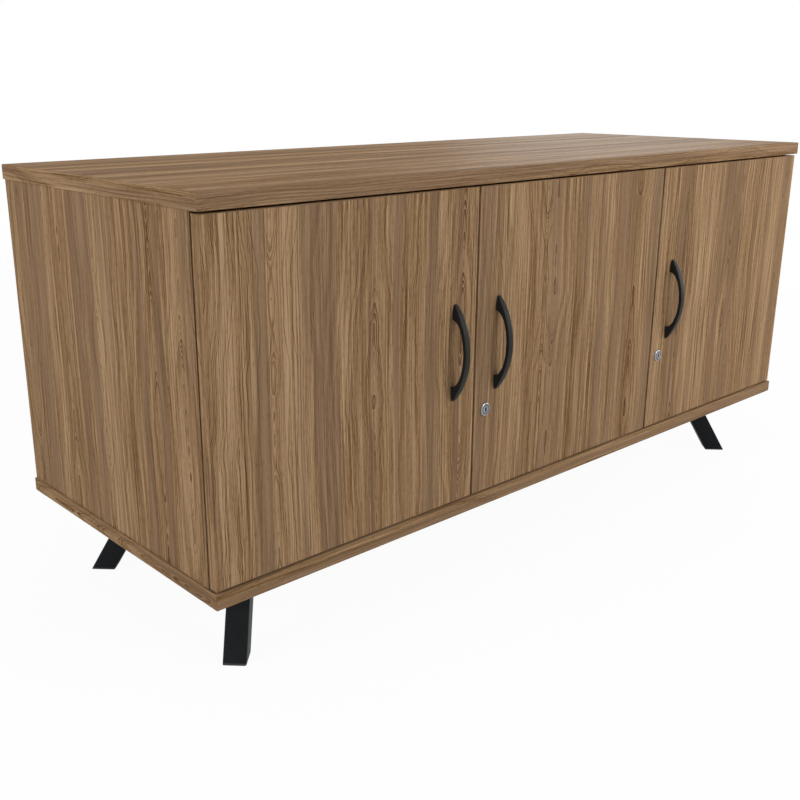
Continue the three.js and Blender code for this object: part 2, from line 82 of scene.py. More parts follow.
# How the doors hang: +1 where the hinge edge is on the left
DOORS = {"left": 1, "middle": -1, "right": -1}
LOCKED_DOORS = ("middle", "right")
HINGE_LEVELS = ("upper", "lower")
DOOR_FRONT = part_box("left_door")[0].y
DOOR_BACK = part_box("left_door")[1].y

# Fine sizes of the dressing, in metres
WELD = 1e-6
SEAM = 0.08 * MM
SHARP = math.radians(32)
FLAT = math.radians(6)
ROUND_STEPS = 48
SMALL_STEPS = 24


def tone(red, green, blue):
    """A colour as it shows on a screen, from 0 to 255, in linear light."""
    def linear(value):
        share = value / 255
        return share / 12.92 if share <= 0.04045 else ((share + 0.055) / 1.055) ** 2.4
    return tuple(linear(value) for value in (red, green, blue))


def colour_property(name, description, default):
    return FloatVectorProperty(name=name, description=description, default=default,
                               subtype="COLOR", size=3, min=0.0, max=1.0)


def length_property(name, description, default):
    return FloatProperty(name=name, description=description, default=default, min=0.0, unit="LENGTH")


class LaminateSettings(bpy.types.PropertyGroup):
    """Wood-grain melamine of the boards"""

    light_tone: colour_property("Light tone", "Palest early wood", tone(170, 141, 109))
    middle_tone: colour_property("Middle tone", "Usual colour of the wood", tone(130, 102, 72))
    dark_tone: colour_property("Dark tone", "Darkest late wood", tone(82, 56, 34))
    grey_tone: colour_property("Grey tone", "Grey-brown stripes", tone(116, 93, 74))
    leaf_width: length_property("Leaf width", "Usual width of one leaf of the figure", 0.125)
    ring_spacing: length_property("Ring spacing", "Distance between growth rings", 0.0028)
    roughness: FloatProperty(name="Roughness", description="Roughness of the melamine", default=0.62,
                             min=0.0, max=1.0, subtype="FACTOR")
    thick_band: length_property("Thick edge band", "Edge band of the top and bottom boards", 2.0 * MM)
    thin_band: length_property("Thin edge band", "Edge band of doors, sides and shelves", 1.0 * MM)


class HardwareSettings(bpy.types.PropertyGroup):
    """Handles, locks, hinges, legs and screws"""

    handle_tone: colour_property("Handle tone", "Charcoal of the bow handles", tone(36, 36, 35))
    leg_tone: colour_property("Leg tone", "Powder coat of the legs", tone(27, 29, 31))
    foot_tone: colour_property("Foot tone", "Plastic of the end plugs", tone(24, 24, 25))
    chrome_tone: colour_property("Lock tone", "Bright metal of the locks", tone(156, 157, 159))
    steel_tone: colour_property("Hinge tone", "Plated steel of hinges and screws", tone(196, 197, 198))
    cap_tone: colour_property("Cap tone", "Brown plastic of the cover caps", tone(112, 86, 60))
    cap_radius: length_property("Cap radius", "Radius of the caps over the corner fittings", 8.5 * MM)
    cap_height: length_property("Cap height", "Height of the caps over the corner fittings", 1.2 * MM)
    handle_round: length_property("Handle rounding", "Rounding along the edges of a handle", 1.6 * MM)
    screw_radius: length_property("Screw head radius", "Radius of a screw head", 3.6 * MM)
    screw_height: length_property("Screw head height", "Height of a screw head", 1.3 * MM)
    bumper_radius: length_property("Bumper radius", "Radius of a door bumper", 3.2 * MM)
    bumper_height: length_property("Bumper height", "Height of a door bumper", 1.7 * MM)


class StageSettings(bpy.types.PropertyGroup):
    """Floor, light and camera"""

    floor_tone: colour_property("Floor tone", "Colour of the floor", (0.9, 0.9, 0.9))
    sky_light: FloatProperty(name="Surrounding light", description="Strength of the even light around",
                             default=0.25, min=0.0)
    front_power: FloatProperty(name="Front lamp power", description="Power of the soft lamp before the doors",
                               default=114.0, min=0.0, unit="POWER")
    left_power: FloatProperty(name="Left lamp power", description="Power of the soft lamp beside the left end",
                              default=80.0, min=0.0, unit="POWER")
    rear_power: FloatProperty(name="Rear lamp power", description="Power of the lamp behind the right end",
                              default=58.0, min=0.0, unit="POWER")
    right_power: FloatProperty(name="Right lamp power", description="Power of the lamp in front of the right end",
                               default=12.0, min=0.0, unit="POWER")
    upper_power: FloatProperty(name="Upper lamp power", description="Power of the lamp above the top",
                               default=24.0, min=0.0, unit="POWER")
    camera_place: FloatVectorProperty(name="Camera place", description="Where the camera stands",
                                      default=(-1.48133, -1.3738, 0.87167), size=3, subtype="TRANSLATION")
    camera_yaw: FloatProperty(name="Camera yaw", description="Turn of the view from +Y towards +X",
                              default=math.radians(41.93), subtype="ANGLE")
    camera_pitch: FloatProperty(name="Camera pitch", description="Tilt of the view above the horizon",
                                default=math.radians(-17.24), subtype="ANGLE")
    lens: FloatProperty(name="Lens", description="Focal length on a 36 mm sensor", default=44.908,
                        min=1.0, unit="CAMERA")


class Wire:
    """One output of a node; arithmetic on it adds Math nodes."""

    def __init__(self, graph, socket):
        self.graph = graph
        self.socket = socket

    def math(self, operation, *values):
        return self.graph.node("ShaderNodeMath", {"operation": operation}, dict(enumerate(values)))["Value"]

    def __add__(self, other):
        return self.math("ADD", self, other)

    def __radd__(self, other):
        return self.math("ADD", other, self)

    def __sub__(self, other):
        return self.math("SUBTRACT", self, other)

    def __rsub__(self, other):
        return self.math("SUBTRACT", other, self)

    def __mul__(self, other):
        return self.math("MULTIPLY", self, other)

    def __rmul__(self, other):
        return self.math("MULTIPLY", other, self)

    def __truediv__(self, other):
        return self.math("DIVIDE", self, other)

    def __rtruediv__(self, other):
        return self.math("DIVIDE", other, self)

    def __pow__(self, other):
        return self.math("POWER", self, other)


class Graph:
    """A node tree that grows by one method."""

    def __init__(self, tree):
        self.tree = tree

    def node(self, kind, settings=None, inputs=None):
        """Adds a node, sets it up, feeds its inputs, and returns its outputs by identifier."""
        made = self.tree.nodes.new(kind)
        for key, value in (settings or {}).items():
            if key == "stops":
                set_stops(made.color_ramp, value)
            else:
                setattr(made, key, value)
        for key, value in (inputs or {}).items():
            self.feed(find_socket(made.inputs, key), value)
        return {socket.identifier: Wire(self, socket) for socket in made.outputs}

    def feed(self, socket, value):
        if isinstance(value, Wire):
            self.tree.links.new(value.socket, socket)
        else:
            socket.default_value = value

    def axes(self):
        """The place on the surface along X, Y and Z, in metres."""
        place = self.node("ShaderNodeTexCoord")["Object"]
        return self.node("ShaderNodeSeparateXYZ", None, {"Vector": place})

    def grain(self, across, along, across_rate, along_rate, detail=2.0, seed=0.0):
        """Noise drawn out along the grain, from 0 to 1."""
        ends = {"X": across * across_rate + seed, "Y": along * along_rate}
        place = self.node("ShaderNodeCombineXYZ", None, ends)["Vector"]
        settings = {"noise_dimensions": "2D"}
        return self.node("ShaderNodeTexNoise", settings, {"Vector": place, "Scale": 1.0, "Detail": detail})["Fac"]

    def speckle(self, rate, detail=2.0):
        """Even noise in all directions, from 0 to 1."""
        place = self.node("ShaderNodeTexCoord")["Object"]
        return self.node("ShaderNodeTexNoise", None, {"Vector": place, "Scale": rate, "Detail": detail})["Fac"]

    def blend(self, share, first, second):
        settings = {"data_type": "RGBA"}
        inputs = {"Factor_Float": share, "A_Color": first, "B_Color": second}
        return self.node("ShaderNodeMix", settings, inputs)["Result_Color"]

    def between(self, value, low, high, to_low=0.0, to_high=1.0):
        settings = {"interpolation_type": "SMOOTHSTEP"}
        inputs = {"Value": value, "From Min": low, "From Max": high, "To Min": to_low, "To Max": to_high}
        return self.node("ShaderNodeMapRange", settings, inputs)["Result"]

    def bump(self, height, strength, distance):
        inputs = {"Height": height, "Strength": strength, "Distance": distance}
        return self.node("ShaderNodeBump", None, inputs)["Normal"]


class Finish(Graph):
    """A material around one Principled shader."""

    def __init__(self, name):
        self.material = bpy.data.materials.new(name)
        self.material.use_nodes = True
        super().__init__(self.material.node_tree)
        self.shader = self.tree.nodes["Principled BSDF"]

    def shade(self, values):
        for key, value in values.items():
            self.feed(find_socket(self.shader.inputs, key), value)
        return self.material


def find_socket(sockets, key):
    if isinstance(key, int):
        return sockets[key]
    for socket in sockets:
        if socket.identifier == key:
            return socket
    return sockets[key]


def set_stops(ramp, stops):
    while len(ramp.elements) < len(stops):
        ramp.elements.new(1.0)
    for element, (place, colour) in zip(ramp.elements, stops):
        element.position = place
        element.color = opaque(colour)


def opaque(colour):
    return (*colour, 1.0)


def made_once(name, maker, *values, **settings):
    return bpy.data.materials.get(name) or maker(name, *values, **settings)


def laminate(along, across, through, wander=0.02, stripes=0.3):
    name = f"laminate_{AXIS_NAMES[along]}{AXIS_NAMES[across]}_{round(wander * 1000)}_{round(stripes * 10)}"
    return made_once(name, make_laminate, along, across, through, wander, stripes)


def make_laminate(name, along, across, through, wander, stripes):
    """Wood-grain melamine: leaves of growth rings cut lengthwise, broad stripes, fibres and pores."""
    look = bpy.context.scene.credenza_laminate
    finish = Finish(name)
    axes = finish.axes()
    length = axes[AXIS_NAMES[along]]
    width = axes[AXIS_NAMES[across]] + axes[AXIS_NAMES[through]] * 7.3

    sway = finish.grain(width, length, 2.6, 1.7, seed=3.1) - 0.5
    bent = width + sway * wander
    leaf_settings = {"voronoi_dimensions": "1D"}
    leaf = finish.node("ShaderNodeTexVoronoi", leaf_settings, {"W": bent, "Scale": 1 / look.leaf_width})
    chance = finish.node("ShaderNodeSeparateColor", None, {"Color": leaf["Color"]})
    offset = bent - leaf["W"]
    slow_lift = finish.grain(chance["Green"], length, 40.0, 1.4, detail=1.0) - 0.5
    quick_lift = finish.grain(chance["Blue"], length, 40.0, 7.0, detail=2.0) - 0.5
    depth = chance["Red"] * 0.02 + slow_lift * 0.14 + quick_lift * 0.03
    ripple = finish.grain(bent, length, 34.0, 9.0, seed=7.7) * 0.006
    shiver = finish.grain(bent, length, 150.0, 60.0, seed=13.3) * 0.001
    radius = (offset * offset + 0.00002) ** 0.5 + depth + ripple + shiver
    phase = radius / look.ring_spacing
    ring = phase.math("FLOOR", phase)
    marked = finish.between(finish.grain(ring, chance["Blue"], 0.43, 50.0, detail=1.0), 0.42, 0.7)
    late = phase.math("FRACT", phase) ** 1.6 * (marked * 0.85 + 0.15)

    broad = finish.grain(bent, length, 13.0, 0.4, seed=11.0) - 0.5
    belt = finish.grain(bent, length, 30.0, 0.35, detail=3.0, seed=43.0) - 0.5
    stripe = finish.grain(bent, length, 95.0, 1.1, detail=4.0, seed=23.0) - 0.5
    fibre = finish.grain(bent, length, 420.0, 5.0, detail=3.0, seed=5.0) - 0.5
    hair = finish.grain(bent, length, 270.0, 1.1, detail=2.0, seed=61.0)
    dark_hairs = finish.between(hair, 0.56, 0.64)
    pale_hairs = finish.between(hair, 0.44, 0.36)
    pore = finish.grain(bent, length, 1000.0, 75.0, detail=2.0, seed=9.0)
    pits = finish.between(pore, 0.5, 0.72)
    core = 1 - finish.between(offset.math("ABSOLUTE", offset), 0.012, 0.042)
    streaks = (stripe * 0.3 + fibre * 1.6) * (1 - core * 0.4)
    rings = late * (core * 0.2 + 0.75)
    hairs = pale_hairs * 0.14 - dark_hairs * 0.16
    level = broad * 0.52 + belt * stripes + streaks + hairs - rings - pits * 0.22 + 0.745

    stops = [(0.0, look.dark_tone), (0.5, look.middle_tone), (1.0, look.light_tone)]
    wood = finish.node("ShaderNodeValToRGB", {"stops": stops}, {"Fac": level})["Color"]
    grey = finish.between(finish.grain(bent, length, 24.0, 0.5, seed=31.0), 0.48, 0.62)
    colour = finish.blend(grey * 0.5, wood, opaque(look.grey_tone))
    return finish.shade({
        "Base Color": colour,
        "Roughness": pits * 0.12 + late * 0.05 + look.roughness,
        "Specular IOR Level": 0.012,
        "Normal": finish.bump(1 - pits, 0.12, 0.05 * MM),
    })


def speckled(name, colour, roughness, rate, grain_depth, metal=0.0, variation=0.18, specular=0.25):
    """A finish of one colour with fine texture: powder coat, moulded plastic or plated metal."""
    finish = Finish(name)
    fine = finish.speckle(rate)
    clouds = finish.speckle(rate / 45, detail=3.0)
    darker = tuple(channel * (1 - variation) for channel in colour)
    lighter = tuple(min(1.0, channel * (1 + variation)) for channel in colour)
    shade = finish.blend(finish.between(clouds * 0.6 + fine * 0.4, 0.3, 0.7), opaque(darker), opaque(lighter))
    return finish.shade({
        "Base Color": shade,
        "Metallic": metal,
        "Roughness": ((fine - 0.5) * 0.16 + (clouds - 0.5) * 0.1) * (1 - metal * 0.8) + roughness,
        "Specular IOR Level": specular,
        "Normal": finish.bump(fine, 0.3, grain_depth),
    })


def turned_metal(name, colour, roughness, centre):
    """Bright metal with the fine rings of a lathe round an axis along Y."""
    finish = Finish(name)
    axes = finish.axes()
    sideways = axes["X"] - centre.x
    upwards = axes["Z"] - centre.z
    radius = (sideways * sideways + upwards * upwards) ** 0.5
    rings = finish.grain(radius, axes["Y"], 5200.0, 300.0, detail=2.0)
    haze = finish.speckle(160.0, detail=3.0)
    darker = tuple(channel * 0.8 for channel in colour)
    shade = finish.blend(finish.between(rings * 0.5 + haze * 0.5, 0.3, 0.7), opaque(darker), opaque(colour))
    return finish.shade({
        "Base Color": shade,
        "Metallic": 1.0,
        "Roughness": (rings - 0.5) * 0.14 + (haze - 0.5) * 0.08 + roughness,
        "Normal": finish.bump(rings, 0.15, 0.01 * MM),
    })


def handle_finish():
    tools = bpy.context.scene.credenza_hardware
    return made_once("handle_charcoal", speckled, tools.handle_tone, 0.42, 1400.0, 0.02 * MM, specular=0.09)


def leg_finish():
    tools = bpy.context.scene.credenza_hardware
    return made_once("leg_powder_coat", speckled, tools.leg_tone, 0.5, 1100.0, 0.04 * MM, specular=0.06)


def foot_finish():
    tools = bpy.context.scene.credenza_hardware
    return made_once("foot_plastic", speckled, tools.foot_tone, 0.58, 1700.0, 0.02 * MM)


def steel_finish():
    tools = bpy.context.scene.credenza_hardware
    return made_once("plated_steel", speckled, tools.steel_tone, 0.34, 900.0, 0.002 * MM, 0.75, 0.1)


# Dark steel of the leg screws. The same finish is also painted shade, in the lock housing's groove and in the lead-in
# round the key slot
def dark_steel_and_recess_shade_finish():
    return made_once("dark_steel", speckled, tone(70, 70, 72), 0.4, 900.0, 0.002 * MM, 1.0, 0.15)


# Painted shadow: a near-black colour for the shade inside a key slot
def keyway_shadow_finish():
    return made_once("keyway_shadow", speckled, tone(22, 22, 23), 0.6, 1500.0, 0.01 * MM, 0.3)


def cap_finish():
    tools = bpy.context.scene.credenza_hardware
    return made_once("cap_plastic", speckled, tools.cap_tone, 0.5, 1300.0, 0.01 * MM, specular=0.1)


def bumper_finish():
    return made_once("bumper_silicone", speckled, tone(205, 205, 200), 0.35, 1200.0, 0.01 * MM)


def weld_points(form):
    bmesh.ops.remove_doubles(form, verts=form.verts, dist=WELD)


def cad_copy(node):
    """A welded copy of a CAD node's mesh, with flat faces whole again."""
    form = bmesh.new()
    form.from_mesh(NODES[node].data)
    weld_points(form)
    bmesh.ops.dissolve_limit(form, angle_limit=math.radians(0.3), verts=form.verts, edges=form.edges)
    return form


def soften(form):
    """Smooth shading, broken at the sharp edges."""
    for face in form.faces:
        face.smooth = True
    for edge in form.edges:
        edge.smooth = len(edge.link_faces) == 2 and edge.calc_face_angle(0.0) < SHARP


def sharp_edges(form):
    return [edge for edge in form.edges if len(edge.link_faces) == 2 and edge.calc_face_angle(0.0) > SHARP]


def facet_edges(form, least):
    """Edges between the flats of a round wall, where both flats are at least so wide."""
    return [edge for edge in form.edges if len(edge.link_faces) == 2 and FLAT < edge.calc_face_angle(0.0) < SHARP
            and all(face.calc_area() > least * edge.calc_length() for face in edge.link_faces)]


def round_over(form, edges, radius, segments=3):
    bmesh.ops.bevel(form, geom=edges, offset=radius, offset_type="OFFSET", affect="EDGES",
                    segments=segments, profile=0.5, material=-1, clamp_overlap=True)


def slice_away(form, axis, place, side):
    """Cuts off what lies beyond a plane across an axis, and closes the cut."""
    point = Vector()
    point[axis] = place
    normal = Vector()
    normal[axis] = side
    parts = form.verts[:] + form.edges[:] + form.faces[:]
    bmesh.ops.bisect_plane(form, geom=parts, dist=1e-7, plane_co=point, plane_no=normal, clear_outer=True)
    rim = [edge for edge in form.edges if edge.is_boundary]
    bmesh.ops.holes_fill(form, edges=rim, sides=0)


def pour(whole, form, material_index=0):
    """Adds a form to another and frees it."""
    for face in form.faces:
        face.material_index = material_index
    mesh = bpy.data.meshes.new("poured")
    form.to_mesh(mesh)
    form.free()
    whole.from_mesh(mesh)
    bpy.data.meshes.remove(mesh)


def put(name, form, body, slot, *materials):
    """Makes a named piece of a form, riding on a body."""
    mesh = bpy.data.meshes.new(name)
    form.to_mesh(mesh)
    form.free()
    for material in materials:
        mesh.materials.append(material)
    piece = bpy.data.objects.new(name, mesh)
    bpy.context.scene.collection.objects.link(piece)
    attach(piece, body)
    return piece


def refined(node, slot, material, edge_round=0.0, facet_round=0.0):
    """A smooth-shaded copy of a CAD node, with its sharp edges and flats rounded, in the node's place."""
    form = cad_copy(node)
    if facet_round:
        round_over(form, facet_edges(form, facet_round * 2.1), facet_round, 3)
    if edge_round:
        round_over(form, sharp_edges(form), edge_round, 2)
    soften(form)
    piece = put(f"{node}_shell", form, NODES[node]["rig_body"], slot, material)
    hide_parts(node)
    return piece


def lathe(points, steps):
    """A solid of revolution round Z from (radius, height) points."""
    form = bmesh.new()
    verts = [form.verts.new((radius, 0.0, height)) for radius, height in points]
    edges = [form.edges.new(pair) for pair in zip(verts, verts[1:])]
    bmesh.ops.spin(form, geom=verts + edges, cent=(0, 0, 0), axis=(0, 0, 1), dvec=(0, 0, 0),
                   angle=2 * math.pi, steps=steps, use_merge=True)
    weld_points(form)
    return form


def domes(profile, steps, places):
    """Like turned domes at (place, outward) pairs, as one form."""
    whole = bmesh.new()
    for place, outward in places:
        dome = lathe(profile, steps)
        bmesh.ops.transform(dome, matrix=facing(place, outward), verts=dome.verts)
        bmesh.ops.recalc_face_normals(dome, faces=dome.faces)
        soften(dome)
        pour(whole, dome)
    return whole


def facing(place, outward):
    """The turn and move that stand a form on a place, with its Z along outward."""
    turn = Vector(outward).to_track_quat("Z", "Y").to_matrix().to_4x4()
    return Matrix.Translation(place) @ turn


def extend(form, edges, size, drop):
    """Draws a ring of edges out to a new size, lowered by a drop; returns the new ring."""
    drawn = bmesh.ops.extrude_edge_only(form, edges=edges)["geom"]
    verts = [part for part in drawn if isinstance(part, bmesh.types.BMVert)]
    bmesh.ops.scale(form, vec=(size, size, 1), verts=verts)
    bmesh.ops.translate(form, vec=(0, 0, -drop), verts=verts)
    return [part for part in drawn if isinstance(part, bmesh.types.BMEdge)]


def oval(form, width, height, level):
    """Adds the outline of a slot with round ends on a level; returns its edges."""
    before = set(form.edges)
    made = bmesh.ops.create_circle(form, segments=ROUND_STEPS, radius=width / 2,
                                   matrix=Matrix.Translation((0, 0, level)))
    for side in (-1, 1):
        half = [vert for vert in made["verts"] if vert.co.y * side > WELD]
        bmesh.ops.translate(form, vec=(0, side * (height - width) / 2, 0), verts=half)
    return [edge for edge in form.edges if edge not in before]


def raise_faces(form, faces, move):
    """Extrudes faces as one and moves them; returns the moved vertices."""
    raised = bmesh.ops.extrude_face_region(form, geom=faces)
    verts = [part for part in raised["geom"] if isinstance(part, bmesh.types.BMVert)]
    bmesh.ops.translate(form, vec=move, verts=verts)
    return verts


def screw_head(radius, height):
    """A domed head with a cross recess, standing on z = 0."""
    profile = [(0.0, 0.0), (radius, 0.0), (radius * 0.97, height * 0.4), (radius * 0.82, height * 0.78),
               (radius * 0.58, height)]
    form = lathe(profile, SMALL_STEPS)
    outer_rim = [edge for edge in form.edges if edge.is_boundary]

    grid = bmesh.ops.create_grid(form, x_segments=3, y_segments=3, size=radius * 0.42,
                                 matrix=Matrix.Translation((0, 0, height)))
    cross = {face for vert in grid["verts"] for face in vert.link_faces}
    reach = radius * 0.42 * 0.5
    corners = [face for face in cross if min(abs(face.calc_center_median().x), abs(face.calc_center_median().y)) > reach / 2]
    bmesh.ops.delete(form, geom=corners, context="FACES")
    cross = [face for face in form.faces if face.is_valid and len(face.verts) == 4
             and all(abs(vert.co.z - height) < WELD for vert in face.verts)
             and face.calc_center_median().xy.length < radius * 0.4]
    cross_rim = [edge for face in cross for edge in face.edges if edge.is_boundary]
    bmesh.ops.bridge_loops(form, edges=outer_rim + cross_rim)
    raise_faces(form, cross, (0, 0, -height * 0.75))
    bmesh.ops.delete(form, geom=[face for face in cross if face.is_valid], context="FACES")
    bmesh.ops.recalc_face_normals(form, faces=form.faces)
    soften(form)
    return form


def screws(name, places, body, slot, material, radius=None, height=None):
    """A group of like screws at (place, outward) pairs, as one piece."""
    tools = bpy.context.scene.credenza_hardware
    whole = bmesh.new()
    for number, (place, outward) in enumerate(places):
        head = screw_head(radius or tools.screw_radius, height or tools.screw_height)
        turn = Matrix.Rotation(math.radians(37) * number, 4, "Z")
        bmesh.ops.transform(head, matrix=facing(place, outward) @ turn, verts=head.verts)
        pour(whole, head)
    return put(name, whole, body, slot, material)


def banded_board(node, slot, along, bands, band_size, band_wander=0.02, stripes=0.3):
    """A board cut from its CAD node, with edge bands on the sides named as (axis, side)."""
    low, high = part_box(node)
    ends = {-1: low, 1: high}
    thin = min(range(3), key=lambda axis: high[axis] - low[axis])
    across = 3 - along - thin
    body = NODES[node]["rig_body"]

    board = cad_copy(node)
    for axis, side in bands:
        slice_away(board, axis, ends[side][axis] - side * (band_size + SEAM), side)
    soften(board)
    piece = put(f"{node}_board", board, body, slot, laminate(along, across, thin, stripes=stripes))
    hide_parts(node)
    if not bands:
        return

    whole = bmesh.new()
    finishes = []
    done = []
    for axis, side in bands:
        band = cad_copy(node)
        slice_away(band, axis, ends[side][axis] - side * band_size, -side)
        for other_axis, other_side in done:
            if other_axis != axis:
                inner = ends[other_side][other_axis] - other_side * (band_size + SEAM)
                slice_away(band, other_axis, inner, other_side)
        done.append((axis, side))
        soften(band)
        run = along if axis != along else across
        finish = laminate(run, 3 - run - axis, axis, band_wander)
        if finish not in finishes:
            finishes.append(finish)
        pour(whole, band, finishes.index(finish))
    put(f"{node}_bands", whole, body, slot, *finishes)


class CREDENZA_OT_boards(bpy.types.Operator):
    """Top, bottom, sides, partitions, back and shelves with their edge bands and cover caps"""

    bl_idname = "credenza.boards"
    bl_label = "Boards"

    # Which face of each upright board holds the fittings that pull it to top and bottom
    FITTED = {"left_side_panel": 1, "left_partition": -1, "right_partition": 1, "right_side_panel": -1}
    CAP_FROM_END = 24.0 * MM
    CAP_FROM_EDGE = 52.0 * MM

    def execute(self, context):
        look = context.scene.credenza_laminate
        around = [(Y, -1), (Y, 1), (X, -1), (X, 1)]
        banded_board("top_panel", "laminate_level", X, around, look.thick_band, 0.02, 1.3)
        banded_board("bottom_panel", "laminate_level", X, around, look.thick_band, 0.03, 1.3)
        for side in ("left_side_panel", "right_side_panel"):
            banded_board(side, "laminate_upright", Z, [(Y, -1), (Y, 1)], look.thin_band)
        for partition in ("left_partition", "right_partition"):
            banded_board(partition, "laminate_upright", Z, [(Y, -1)], look.thin_band)
        for shelf in ("left_shelf", "middle_shelf", "right_shelf"):
            banded_board(shelf, "laminate_level", X, [(Y, -1)], look.thin_band)
        banded_board("back_panel", "laminate_upright", Z, [], look.thin_band)
        self.caps(context)
        return {"FINISHED"}

    def caps(self, context):
        """Plastic covers over the corner fittings, inside at both ends of each upright board."""
        tools = context.scene.credenza_hardware
        radius = tools.cap_radius
        height = tools.cap_height
        profile = [(0.0, 0.0), (radius, 0.0), (radius, height * 0.4), (radius * 0.97, height * 0.8),
                   (radius * 0.9, height), (0.0, height)]
        places = []
        for board, side in self.FITTED.items():
            low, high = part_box(board)
            face = high.x if side > 0 else low.x
            for level in (low.z + self.CAP_FROM_END, high.z - self.CAP_FROM_END):
                for depth in (low.y + self.CAP_FROM_EDGE, high.y - self.CAP_FROM_EDGE):
                    places.append((Vector((face, depth, level)), (side, 0, 0)))
        put("fitting_caps", domes(profile, SMALL_STEPS, places), "carcass", "foot_plastic", cap_finish())


class CREDENZA_OT_doors(bpy.types.Operator):
    """The three doors with their edge bands and bumpers"""

    bl_idname = "credenza.doors"
    bl_label = "Doors"

    def execute(self, context):
        look = context.scene.credenza_laminate
        for name, away in DOORS.items():
            around = [(X, -1), (X, 1), (Z, -1), (Z, 1)]
            banded_board(f"{name}_door", "laminate_upright", Z, around, look.thin_band)
            self.bumpers(context, name, away)
        return {"FINISHED"}

    def bumpers(self, context, name, away):
        """Two soft domes behind the free edge of a door."""
        tools = context.scene.credenza_hardware
        low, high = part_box(f"{name}_door")
        free_edge = high.x if away > 0 else low.x
        radius = tools.bumper_radius
        height = tools.bumper_height
        profile = [(0.0, 0.0), (radius, 0.0), (radius * 0.96, height * 0.45),
                   (radius * 0.72, height * 0.85), (radius * 0.35, height), (0.0, height)]
        places = []
        for level in (low.z + 14 * MM, high.z - 14 * MM):
            places.append((Vector((free_edge - away * 3.75 * MM, DOOR_BACK, level)), (0, 1, 0)))
        bumpers = domes(profile, SMALL_STEPS, places)
        put(f"{name}_door_bumpers", bumpers, f"{name}_door_set", "foot_plastic", bumper_finish())


class CREDENZA_OT_handles(bpy.types.Operator):
    """The bow handles and the screws that hold them from inside"""

    bl_idname = "credenza.handles"
    bl_label = "Handles"

    THICKNESS = 6.0 * MM
    FOOT = 25.0 * MM
    TIP = 2.6 * MM
    TAPER = 30.0 * MM
    TIP_SHARE = 0.3
    STEPS = 56
    NOSE_STEPS = 7
    TAPER_STEPS = 10

    def execute(self, context):
        for name in DOORS:
            node = f"{name}_handle"
            low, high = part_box(node)
            form = self.bow(context, low, high)
            piece = put(f"{node}_bow", form, f"{name}_door_set", "handle_black", handle_finish())
            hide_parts(node)
            middle = (low + high) / 2
            half = (high.z - low.z) / 2 - self.FOOT / 2
            places = []
            for side in (-1, 1):
                places.append((Vector((middle.x, DOOR_BACK, middle.z + side * half)), (0, 1, 0)))
            screws(f"{node}_screws", places, f"{name}_door_set", "hinge_steel", steel_finish(), 3.9 * MM, 1.5 * MM)
        return {"FINISHED"}

    def bow(self, context, low, high):
        """A crescent between an outer circle and an inner half ellipse, standing out towards -Y."""
        tools = context.scene.credenza_hardware
        reach = high.y - low.y
        tip = (high.z - low.z) / 2
        rise = reach - self.TIP
        outer_radius = (rise * rise + tip * tip) / (2 * rise)
        outer_centre = reach - outer_radius
        nose = self.nose_radius(outer_radius, outer_centre, tip)
        half_sweep = math.atan2(tip - nose, nose - outer_centre)
        inner_half = tip - self.FOOT

        form = bmesh.new()
        last = form.verts.new((low.x, 0.0, nose - tip))
        arcs = (
            (nose, nose - tip, math.pi - half_sweep, self.NOSE_STEPS),
            (outer_centre, 0.0, 2 * half_sweep, self.STEPS),
            (nose, tip - nose, math.pi - half_sweep, self.NOSE_STEPS),
        )
        for out, height, angle, steps in arcs:
            arc = bmesh.ops.spin(form, geom=[last], cent=(low.x, -out, height), axis=(1, 0, 0),
                                 dvec=(0, 0, 0), angle=-angle, steps=steps)
            last = next(part for part in arc["geom_last"] if isinstance(part, bmesh.types.BMVert))
        outer_edges = form.edges[:]

        first = form.verts.new((low.x, 0.0, -inner_half))
        bmesh.ops.spin(form, geom=[first], cent=(low.x, 0, 0), axis=(1, 0, 0), dvec=(0, 0, 0),
                       angle=-math.pi, steps=self.STEPS)
        inner_edges = [edge for edge in form.edges if edge not in outer_edges]
        inner_verts = {vert for edge in inner_edges for vert in edge.verts}
        flatten = Matrix.Diagonal((1, (reach - self.THICKNESS) / inner_half, 1, 1))
        bmesh.ops.transform(form, matrix=flatten, verts=list(inner_verts))

        bmesh.ops.bridge_loops(form, edges=outer_edges + inner_edges)
        raise_faces(form, form.faces[:], (high.x - low.x, 0, 0))
        bmesh.ops.recalc_face_normals(form, faces=form.faces)
        self.narrow_ends(form, (low.x + high.x) / 2, tip)
        round_over(form, sharp_edges(form), tools.handle_round, 4)
        bmesh.ops.translate(form, vec=(0, high.y, (low.z + high.z) / 2), verts=form.verts)
        soften(form)
        return form

    def narrow_ends(self, form, middle, tip):
        """Cut both feet across and narrow them towards their tips, as half ellipses."""
        start = tip - self.TAPER
        for step in range(self.TAPER_STEPS):
            level = start + self.TAPER * math.sin(math.pi / 2 * step / self.TAPER_STEPS)
            for side in (-1, 1):
                bmesh.ops.bisect_plane(form, geom=form.verts[:] + form.edges[:] + form.faces[:], dist=0.001 * MM,
                                       plane_co=(0, 0, side * level), plane_no=(0, 0, 1))
        for vert in form.verts:
            beyond = max(0.0, (abs(vert.co.z) - start) / self.TAPER)
            round_share = math.sqrt(max(0.0, 1 - beyond * beyond))
            share = self.TIP_SHARE + (1 - self.TIP_SHARE) * round_share
            bmesh.ops.scale(form, vec=(share, 1, 1), space=Matrix.Translation((-middle, 0, 0)), verts=[vert])

    def nose_radius(self, outer_radius, outer_centre, tip):
        """Radius of the tip's rounding that meets both the outer circle and the handle's length."""
        half = outer_radius - outer_centre - tip
        rest = outer_radius * outer_radius - outer_centre * outer_centre - tip * tip
        return math.sqrt(half * half + rest) - half


